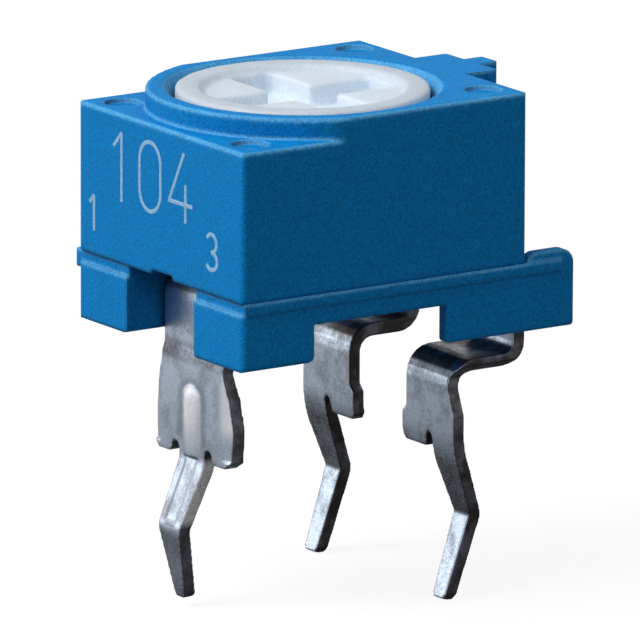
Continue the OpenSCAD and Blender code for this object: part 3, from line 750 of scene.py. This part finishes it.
class TRIMMER_OT_plate(bpy.types.Operator):
    """Ceramic plate with its printed films, solder and sealing resin"""

    bl_idname = "trimmer.plate"
    bl_label = "Ceramic plate"

    def execute(self, context):
        sizes = context.scene.trimmer_sizes
        alumina = plain_finish("fired_alumina", (0.84, 0.83, 0.78), (0.76, 0.75, 0.70),
                               roughness=0.6)
        carbon = plain_finish("resistive_film", (0.022, 0.020, 0.020), (0.040, 0.036, 0.034),
                              roughness=0.5)
        silver = plain_finish("conductor_film", (0.62, 0.60, 0.55), (0.48, 0.46, 0.42),
                              roughness=0.38, metallic=1.0)
        solder = plain_finish("bright_solder", (0.62, 0.62, 0.65), (0.45, 0.45, 0.48),
                              roughness=0.22, metallic=1.0, scale=3.0, depth=0.02)
        resin = plain_finish("sealing_resin", (0.012, 0.020, 0.036), (0.020, 0.032, 0.055),
                             roughness=0.22, scale=2.0, depth=0.02)
        edge, film = sizes.moulded_edge, sizes.film_edge
        dress_rounded("substrate", "ceramic_plate", alumina, edge)
        dress_rounded("resistive_track", "resistive_film", carbon, film)
        for node in ("collector_track", "end_pad_left", "end_pad_right"):
            dress_rounded(node, node.replace("track", "film") + "_printed", silver, film)
        for node in ("solder_joint_front", "solder_joint_left", "solder_joint_right"):
            dress_rounded(node, node.replace("joint", "fillet"), solder, film)
        dress_rounded("sealing_resin", "resin_fill", resin, edge)
        return {"FINISHED"}


class TRIMMER_OT_marking(bpy.types.Operator):
    """Generic value code and end numbers on the front face"""

    bl_idname = "trimmer.marking"
    bl_label = "Marking"

    def execute(self, context):
        sizes = context.scene.trimmer_sizes
        pale = marking_pale(context.scene.trimmer_finish)
        for name, numbers, height, pitch, (y, z) in MARKINGS:
            marked_text(name, numbers, getattr(sizes, height), pitch * MM, (y * MM, z * MM),
                        sizes, pale)
        return {"FINISHED"}


def add_lamp(name, level, direction, width):
    """A square lamp that gives a white card facing it the stated level."""
    lamp = bpy.data.lights.new(name, "AREA")
    lamp.shape = "SQUARE"
    lamp.size = width
    lamp.energy = level * math.pi ** 2 * LAMP_DISTANCE ** 2
    holder = bpy.data.objects.new(name, lamp)
    bpy.context.scene.collection.objects.link(holder)
    toward = Vector(direction).normalized()
    holder.location = AIM + toward * LAMP_DISTANCE
    holder.rotation_euler = toward.to_track_quat("Z", "Y").to_euler()
    holder.visible_camera = False


def pale_floor(grey, gloss):
    """Floor white to the camera, with painted shade under the part as gloss sees it, that keeps
    the shadow.
    """
    material, g = new_graph("pale_floor")
    camera, glossy, through = (
        g.node("ShaderNodeLightPath", output=ray)
        for ray in ("Is Camera Ray", "Is Glossy Ray", "Is Transmission Ray"))
    away = g.node("ShaderNodeVectorMath", {"operation": "LENGTH"}, {0: g.place()}, output="Value")
    # painted shade: gloss sees the floor dim near the part and brighter further out
    mirrored = glossy * (FLOOR_NEAR + gloss * g.smooth(away, *FLOOR_RISE))
    shown = (camera + through) * (FLOOR_WHITE - grey * FLOOR_LIGHT) + mirrored
    card = g.node("ShaderNodeBsdfDiffuse", None, {"Color": (grey, grey, grey, 1.0)})
    glow = g.node("ShaderNodeEmission", None, {"Color": shown, "Strength": 1.0})
    both = g.node("ShaderNodeAddShader", None, {0: card, 1: glow})
    g.node("ShaderNodeOutputMaterial", None, {"Surface": both})
    return material


def add_floor(stage):
    """The floor, level with the ends of the pins."""
    corners = ((-1, -1), (1, -1), (1, 1), (-1, 1))
    mesh = bpy.data.meshes.new("floor")
    mesh.from_pydata([(x * FLOOR_HALF, y * FLOOR_HALF, CAD_LOW.z) for x, y in corners],
                     [], [(0, 1, 2, 3)])
    mesh.materials.append(pale_floor(stage.floor_grey, stage.floor_gloss))
    floor = bpy.data.objects.new("floor", mesh)
    bpy.context.scene.collection.objects.link(floor)


def add_sky(stage):
    """Even light from all round, brighter where glossy pieces mirror it."""
    world = bpy.data.worlds.new("studio")
    bpy.context.scene.world = world
    world.use_nodes = True
    sky = Graph(world.node_tree)
    mirrored = sky.node("ShaderNodeLightPath", output="Is Glossy Ray")
    glow = sky.node("ShaderNodeBackground", None,
                    {"Color": stage.sky + mirrored * (stage.sky_gloss - stage.sky),
                     "Strength": 1.0})
    sky.node("ShaderNodeOutputWorld", None, {"Surface": glow})


def add_camera(stage):
    """The camera at the photo's viewing angle."""
    forward = Vector((math.sin(stage.azimuth) * math.cos(stage.elevation),
                      math.cos(stage.azimuth) * math.cos(stage.elevation),
                      -math.sin(stage.elevation)))
    flat_right = Vector((math.cos(stage.azimuth), -math.sin(stage.azimuth), 0.0))
    flat_up = flat_right.cross(forward)
    right = flat_right * math.cos(stage.roll) + flat_up * math.sin(stage.roll)
    up = right.cross(forward)
    camera_data = bpy.data.cameras.new("camera")
    camera_data.lens = stage.lens
    camera_data.sensor_width = 36.0
    camera_data.clip_start = 0.01
    camera_data.clip_end = 20.0
    camera = bpy.data.objects.new("camera", camera_data)
    bpy.context.scene.collection.objects.link(camera)
    turn = Matrix((right, up, -forward)).transposed().to_4x4()
    camera.matrix_world = Matrix.Translation(AIM - forward * stage.distance) @ turn
    bpy.context.scene.camera = camera


class TRIMMER_OT_stage(bpy.types.Operator):
    """Pale floor, soft light and the camera"""

    bl_idname = "trimmer.stage"
    bl_label = "Stage"

    def execute(self, context):
        stage = context.scene.trimmer_stage
        add_floor(stage)
        for name, direction, width in LAMPS:
            add_lamp(name, getattr(stage, name), direction, width)
        add_sky(stage)
        add_camera(stage)
        context.scene.view_settings.view_transform = "Standard"
        return {"FINISHED"}


class TRIMMER_PT_panel(bpy.types.Panel):
    """Sizes, finishes and steps of the trimmer"""

    bl_label = "Trimmer"
    bl_idname = "TRIMMER_PT_panel"
    bl_space_type = "VIEW_3D"
    bl_region_type = "UI"
    bl_category = "Trimmer"

    def draw(self, context):
        scene = context.scene
        for group in (scene.trimmer_sizes, scene.trimmer_finish, scene.trimmer_stage):
            for key in group.__annotations__:
                self.layout.prop(group, key)
        for step in STEPS:
            self.layout.operator(step.bl_idname)


GROUPS = (TrimmerSizes, TrimmerFinish, TrimmerStage)
STEPS = (TRIMMER_OT_stage, TRIMMER_OT_mouldings, TRIMMER_OT_rotor, TRIMMER_OT_leads,
         TRIMMER_OT_plate, TRIMMER_OT_marking)


def register():
    for cls in (*GROUPS, *STEPS, TRIMMER_PT_panel):
        bpy.utils.register_class(cls)
    bpy.types.Scene.trimmer_sizes = bpy.props.PointerProperty(type=TrimmerSizes)
    bpy.types.Scene.trimmer_finish = bpy.props.PointerProperty(type=TrimmerFinish)
    bpy.types.Scene.trimmer_stage = bpy.props.PointerProperty(type=TrimmerStage)


def unregister():
    del bpy.types.Scene.trimmer_stage
    del bpy.types.Scene.trimmer_finish
    del bpy.types.Scene.trimmer_sizes
    for cls in reversed((*GROUPS, *STEPS, TRIMMER_PT_panel)):
        bpy.utils.unregister_class(cls)


def main():
    """Runs every step."""
    register()
    bpy.ops.trimmer.stage()
    bpy.ops.trimmer.mouldings()
    bpy.ops.trimmer.rotor()
    bpy.ops.trimmer.leads()
    bpy.ops.trimmer.plate()
    bpy.ops.trimmer.marking()


if __name__ == "__main__":
    main()
